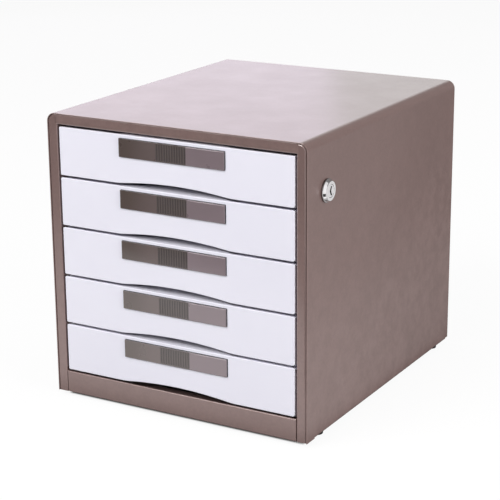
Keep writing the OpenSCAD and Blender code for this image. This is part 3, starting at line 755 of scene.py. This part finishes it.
def add_shelf(bm, z0):
    """Shelf behind the top edge, seen through the arch above; it rises to its curved rear edge."""
    sunk, half_count, edge_r = 0.02, 16, 0.25
    y0, top, low = PANEL_Y - LAP, z0 + FRONT_H - sunk, z0 + LEDGE_Z - LAP - sunk
    curve_r = (ARCH_HALF ** 2 + CRESCENT_D ** 2) / (2 * CRESCENT_D)
    columns = []
    for i in range(2 * half_count + 1):
        x = ARCH_HALF * (i - half_count) / half_count
        depth = LAP + math.sqrt(curve_r ** 2 - x * x) - curve_r + CRESCENT_D
        rise = SHELF_LIFT * depth / CRESCENT_D
        line = [(y0 + depth * t, top + rise * t * t) for t in (0, 0.25, 0.5, 0.75, 0.95)]
        line += [(y0 + depth, top + rise - edge_r), (y0 + depth, low + rise), (y0, low)]
        columns.append([bm.verts.new((x, y, z)) for y, z in line])
    skin_loops(bm, columns)
    bm.faces.new(columns[0])
    bm.faces.new(columns[-1][::-1])


def add_front_walls(bm, z0):
    """Walls folded back from the panel, and the bosses for the screws."""
    inner_x, y0, low, high = FRONT_X - 0.1, PANEL_Y - LAP, z0 + 0.8, z0 + LEDGE_Z
    arch_side_x = ARCH_HALF + 3
    boss = [(4.3, 0.0), (4.0, 0.6), (4.0, 14.4), (3.8, 14.65)]
    block(bm, (-inner_x, y0, high - FRONT_WALL), (inner_x, TRAY_Y, high))
    for _, side in SIDES:
        x0, x1 = sorted((side * (FRONT_X - FRONT_WALL), side * inner_x))
        block(bm, (x0, y0, low), (x1, TRAY_Y, high - LAP))
        x0, x1 = sorted((side * arch_side_x, side * (inner_x - 0.1)))
        block(bm, (x0, y0, low), (x1, TRAY_Y - 1, low + FRONT_WALL))
        for row in BOSS_ROWS:
            turned(bm, boss, facing_front(y0, side * BOSS_X, z0 + row), 24)


def make_drawer_front(n):
    z0, gap = drawer_z(n), 0.3
    bm = bmesh.new()
    place = facing_front(FACE_Y, 0, z0)
    panel = sweep(bm, front_outline(), slab(PANEL_Y - FACE_Y, 0.6, 0.2, 4), place, first=False)
    pocket = rounded(PLATE_X - PLATE_HALF - gap, PLATE_X + PLATE_HALF + gap,
                     PLATE_Z - gap, PLATE_Z + PLATE_H + gap, 0.5, 4)
    profile = [(-0.25, 0.0), (-0.07, 0.07), (0.0, 0.25), (0.0, POCKET_D - 0.15), (0.15, POCKET_D)]
    well = sweep(bm, pocket, profile, place, first=False)
    fill_between(bm, panel[0], well[0])
    add_shelf(bm, z0)
    add_front_walls(bm, z0)
    name = f"drawer_front_{n}"
    piece(name, bm, f"drawer_{n}", WHITE_PLASTIC, "drawer_plastic", name)


def make_label_plate(n):
    """Plate with a grooved grip in the middle and a raised window on its right."""
    z0 = drawer_z(n)
    low, high = PLATE_Z, PLATE_Z + PLATE_H
    bm = bmesh.new()
    place = facing_front(PLATE_Y, PLATE_X, z0)
    outline = rounded(-PLATE_HALF, PLATE_HALF, low, high, 0.4, 4)
    depth = PLATE_PROUD + POCKET_D - WINDOW_PROUD
    plate = sweep(bm, outline, slab(depth, 0.25, 0.1, 3), place, first=False)
    cuts = []
    for i in range(GROOVES):
        x = (i - (GROOVES - 1) / 2) * GROOVE_PITCH
        groove = rounded(x - GROOVE_HALF, x + GROOVE_HALF, low + 1, high - 1, 0.4, 3)
        profile = [(-0.1, 0.0), (0.0, 0.1), (0.02, 0.28), (0.12, 0.38)]
        cuts.append(sweep(bm, groove, profile, place, first=False)[0])
    margin = 0.7
    window = rounded(WINDOW_X, PLATE_HALF - margin, low + margin, high - margin, 0.6, 4)
    profile = [(0.25, -WINDOW_PROUD), (0.08, -0.15), (0.0, -0.06), (0.0, 0.0)]
    cuts.append(sweep(bm, window, profile, place, last=False)[-1])
    fill_between(bm, plate[0], *cuts)
    peg, peg_x, peg_z = [(1.6, 0.0), (1.6, 2.2), (1.3, 2.5)], 38, z0 + PLATE_Z + PLATE_H / 2
    for _, side in SIDES:             # the pegs clip into the front
        turned(bm, peg, facing_front(FACE_Y + POCKET_D - 0.1, side * peg_x, peg_z), 24)
    name = f"label_plate_{n}"
    piece(name, bm, f"drawer_{n}", PLATE_PLASTIC, "plate_plastic", name)


def make_tray(n):
    """Tray with side rails, stop ears, and on its right the catch for the lock's finger."""
    z0 = drawer_z(n)
    rim, ear_x, catch_x = z0 + TRAY_RIM, TRAY_X + 4, FLANGE_X - 0.7
    rail_h, ear_low, ear_high, sunk = 2, rim - 0.5, rim + 3.5, 0.02
    bm = bmesh.new()
    outline = rounded(-TRAY_X, TRAY_X, TRAY_Y, TRAY_END, 4.0, 6)
    sweep(bm, outline, pan(TRAY_RIM - TRAY_Z, TRAY_WALL, 1.8, 1.5, 5), upward(z0 + TRAY_Z))
    for _, side in SIDES:
        x0, x1 = sorted((side * (TRAY_X - LAP), side * FLANGE_X))
        block(bm, (x0, RAIL_FRONT, rim - rail_h), (x1, TRAY_END, rim - sunk), 0.5)
        x0, x1 = sorted((side * (TRAY_X - TRAY_WALL), side * ear_x))
        block(bm, (x0, EAR_FRONT, ear_low), (x1, TRAY_END - sunk, ear_high), 0.6)
    block(bm, (TRAY_X - LAP, CATCH_Y[0], z0 + CATCH_Z[0]),
          (catch_x, CATCH_Y[1], z0 + CATCH_Z[1]), 0.5)
    piece(f"drawer_tray_{n}", bm, f"drawer_{n}", WHITE_PLASTIC, "drawer_plastic",
          f"drawer_tray_{n}", f"drawer_slides_{n}")
    bm = bmesh.new()
    head_y = TRAY_Y + TRAY_WALL + SCREW_HEAD_H
    for _, side in SIDES:
        for row in BOSS_ROWS:
            screw(bm, facing_back(head_y, side * BOSS_X, z0 + row), length=11.6)
    name = f"drawer_screws_{n}"
    piece(name, bm, f"drawer_{n}", ZINC, "zinc", name)


# ------------------------------------------------------------------ lock

def make_lock():
    place = along_x(SIDE_X, LOCK_Y, LOCK_Z)
    barrel_end, bore_r, seat = -7.4, 4.65, 3.0
    housing = [(bore_r, barrel_end), (6.0, barrel_end), (6.0, -0.2), (11.5, -0.2), (11.65, 0.1),
               (11.7, 0.5), (11.7, 1.8), (11.5, 2.05), (11.1, 2.2), (10.0, 4.6), (9.8, 4.95),
               (9.5, 5.12), (9.1, 5.2), (6.8, 5.2), (6.55, 5.1), (6.45, 4.9), (6.45, seat),
               (bore_r, seat)]
    bm = bmesh.new()
    turned(bm, housing, place, 72, False, False)
    close_ring(bm)
    piece("lock_housing", bm, "case", CHROME, "lock_chrome", "lock_housing")
    plug = [(4.6, barrel_end), (4.6, 3.05), (6.4, 3.05), (6.4, 4.6), (6.3, 4.8), (6.1, 4.9)]
    bm = bmesh.new()
    body = turned(bm, plug, place, 72, True, False)
    # keyway: an upright slot that the wards bend towards the front
    key = [(0.0, -4.4), (2.3, -4.4), (0.4, -0.5), (0.4, 0.5), (2.3, 4.4), (0.0, 4.4),
           (-2.2, 0.6), (-2.2, -0.6)]
    depths = ((1.04, 4.9), (1.0, 4.75), (1.0, -5.0))
    rings = [([(u * k, v * k) for u, v in key], w) for k, w in depths]
    slot = loft(bm, rings, place, first=False)
    fill_between(bm, body[-1], slot[0])
    piece("lock_plug", bm, "lock_core", CHROME, "lock_chrome", "lock_plug")


make_case_skin()
make_front_frame()
make_kick_rail()
make_back()
make_feet()
for level in LEVELS:
    make_drawer_front(level)
    make_label_plate(level)
    make_tray(level)
make_lock()

# CAD nodes that are shown as they are
for name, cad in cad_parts.items():
    if cad.hide_render:
        continue
    inner = name.startswith(("base_panel", "upright", "bar_guide"))
    cad.data.materials.clear()
    cad.data.materials.append(INNER_PAINT if inner else ZINC)


# ------------------------------------------------------------------ floor, light, camera

def mirrored_floor(tree, x, y):
    """How bright gloss sees the table, over its own X and Y in metres.

    It is bright in front of the case and dim beside it. It darkens farther to the front left,
    and a black spot at the front right is there for the lock's flank to mirror.
    """
    # dark past a line that slants back to the right, and less so to the right
    far_line = maths(tree, "MULTIPLY_ADD", x, -0.205, y)
    far = maths(tree, "MULTIPLY", map_range(tree, far_line, -0.61, -0.49, 0.96, 0.0, True),
                map_range(tree, x, 0.05, 0.30, 1.0, 0.0, True))
    # beside the case: brighter away from it and to the front, and a little more close to it
    side_line = maths(tree, "MULTIPLY_ADD", x, -2.4, y)
    beside = maths(tree, "ADD", map_range(tree, side_line, -0.65, -0.19, 0.32, 0.05),
                   map_range(tree, x, 0.27, 0.41, 0.15, 0.0, True))
    right = map_range(tree, x, 0.15, 0.17, 0.0, 1.0)
    front = map_range(tree, y, -0.24, -0.15, 1.0, 0.05, True)
    near = maths(tree, "MAXIMUM", front, maths(tree, "MULTIPLY", beside, right))
    # the spot: a band of Y between the case's right side and a slanting line
    spot_left, spot_y, spot_half_y, slant, line_x = 0.145, -0.54, 0.21, 0.4, 0.125
    spot_line = maths(tree, "MULTIPLY_ADD", y, slant, x)
    spot = maths(tree, "MULTIPLY", maths(tree, "LESS_THAN", spot_line, line_x),
                 maths(tree, "MULTIPLY", maths(tree, "GREATER_THAN", x, spot_left),
                       maths(tree, "COMPARE", y, spot_y, spot_half_y)))
    near = maths(tree, "MULTIPLY", near, maths(tree, "SUBTRACT", 1.0, spot))
    return maths(tree, "SUBTRACT", near, far)


def make_floor():
    """White table that keeps the case's shadow, and is dark right under the case."""
    bm = bmesh.new()
    bmesh.ops.create_grid(bm, x_segments=8, y_segments=8, size=6.0)
    mesh = bpy.data.meshes.new("studio_floor")
    bm.to_mesh(mesh)
    bm.free()
    made, tree, shader = new_finish("white_floor", Roughness=0.9, Specular_IOR_Level=0.0)
    seen = node(tree, "ShaderNodeLightPath").outputs
    eye = seen["Is Camera Ray"]
    x, y, _ = axes_of(tree, own_place(tree))
    fade_from, fade_to, white_share = 0.011, 0.006, 0.92      # fade inside the case's outline
    under = 1.0
    for place, half in ((x, SIDE_X * MM), (y, REAR_Y * MM)):
        away = maths(tree, "ABSOLUTE", place)
        inside = map_range(tree, away, half - fade_from, half - fade_to, 1.0, 0.0, True)
        under = maths(tree, "MULTIPLY", inside, under)
    direct = maths(tree, "MAXIMUM", eye, seen["Is Glossy Ray"])
    direct = maths(tree, "MULTIPLY", direct, white_share)
    factor = maths(tree, "MULTIPLY", direct, maths(tree, "SUBTRACT", 1.0, under))
    grey = map_range(tree, eye, 0.0, 1.0, 0.30, 0.90)
    tint = tree.nodes.new("ShaderNodeCombineXYZ")
    for axis in "XYZ":
        link(tree, grey, tint.inputs[axis])
    link(tree, tint.outputs[0], shader.inputs["Base Color"])
    white = node(tree, "ShaderNodeEmission")
    link(tree, maths(tree, "MAXIMUM", mirrored_floor(tree, x, y), eye), white.inputs["Strength"])
    both = tree.nodes.new("ShaderNodeMixShader")
    link(tree, factor, both.inputs[0])
    link(tree, shader.outputs[0], both.inputs[1])
    link(tree, white.outputs[0], both.inputs[2])
    link(tree, both.outputs[0], tree.nodes["Material Output"].inputs["Surface"])
    mesh.materials.append(made)
    floor = bpy.data.objects.new("studio_floor", mesh)
    bpy.context.scene.collection.objects.link(floor)


def softbox(name, place, size, power, colour=(1, 1, 1), mirrored_in_metal=True):
    lamp = bpy.data.lights.new(name, "AREA")
    lamp.shape = "RECTANGLE"
    lamp.size, lamp.size_y = size
    lamp.energy = power
    lamp.color = colour
    middle = Vector((0, 0, 0.15))     # of the case, where each lamp points
    made = bpy.data.objects.new(name, lamp)
    made.location = place
    made.visible_glossy = mirrored_in_metal
    made.rotation_euler = (middle - Vector(place)).to_track_quat("-Z", "Y").to_euler()
    bpy.context.scene.collection.objects.link(made)


def make_room():
    """White to the eye.

    Gloss sees a dim room with a low backdrop at the rear left and a reflector at the front right.
    """
    world = bpy.data.worlds.new("white_studio")
    bpy.context.scene.world = world
    world.use_nodes = True
    tree = world.node_tree
    ground = tree.nodes["Background"].inputs
    ground["Color"].default_value = (1, 1, 1, 1)
    seen = node(tree, "ShaderNodeLightPath").outputs
    # in a world, Generated is the direction that a ray leaves in
    x, y, z = axes_of(tree, tree.nodes.new("ShaderNodeTexCoord").outputs["Generated"])
    backdrop = maths(tree, "MULTIPLY", map_range(tree, z, 0.36, 0.60, 1.0, 0.0, True),
                     map_range(tree, y, -0.25, 0.25, 0.0, 1.0, True))
    backdrop = maths(tree, "MULTIPLY", backdrop, map_range(tree, x, -0.34, -0.05, 1.0, 0.0, True))
    reflector = maths(tree, "MULTIPLY", map_range(tree, x, 0.05, 0.15, 0.0, 1.0),
                      map_range(tree, y, -0.35, -0.20, 1.0, 0.0))
    gloss_low, soft_light = 0.20, 0.24
    room = map_range(tree, maths(tree, "MAXIMUM", backdrop, reflector), 0.0, 1.0, gloss_low, 1.0)
    mirror = map_range(tree, seen["Is Glossy Ray"], 0.0, 1.0, soft_light, room)
    clear = maths(tree, "MAXIMUM", seen["Is Camera Ray"], seen["Is Transmission Ray"])
    link(tree, maths(tree, "MAXIMUM", mirror, clear), ground["Strength"])


def make_light():
    softbox("overhead_softbox", (-0.3, -0.2, 2.0), (2.0, 2.0), power=8)
    softbox("front_softbox", (-0.8, -2.0, 1.9), (1.8, 1.4), power=62.5)
    softbox("right_softbox", (2.3, -0.35, 0.75), (1.6, 1.2), power=54, mirrored_in_metal=False)
    softbox("rear_softbox", (-1.85, 1.75, 0.9), (2.0, 1.4), power=3.1, colour=(1.0, 0.78, 1.15))
    softbox("rear_fill", (1.2, 2.2, 1.2), (2.0, 1.4), power=16, mirrored_in_metal=False)


def make_camera():
    """Camera from the straight edges of the case in the photograph."""
    azimuth, elevation, roll = (math.radians(a) for a in (30.02, 16.91, -0.44))
    place, lens_mm = (0.8218, -1.4446, 0.6406), 115.4
    back = Vector((math.sin(azimuth) * math.cos(elevation),
                   -math.cos(azimuth) * math.cos(elevation), math.sin(elevation)))
    right = Vector((0, 0, 1)).cross(back).normalized()
    up = back.cross(right)
    right, up = (math.cos(roll) * right + math.sin(roll) * up,
                 -math.sin(roll) * right + math.cos(roll) * up)
    lens = bpy.data.cameras.new("camera")
    lens.sensor_width, lens.lens = 36.0, lens_mm
    camera = bpy.data.objects.new("camera", lens)
    turn = Matrix((right, up, back)).transposed().to_4x4()
    camera.matrix_world = Matrix.Translation(place) @ turn
    bpy.context.scene.collection.objects.link(camera)
    bpy.context.scene.camera = camera


make_floor()
make_room()
make_light()
make_camera()
bpy.context.scene.view_settings.view_transform = "Standard"
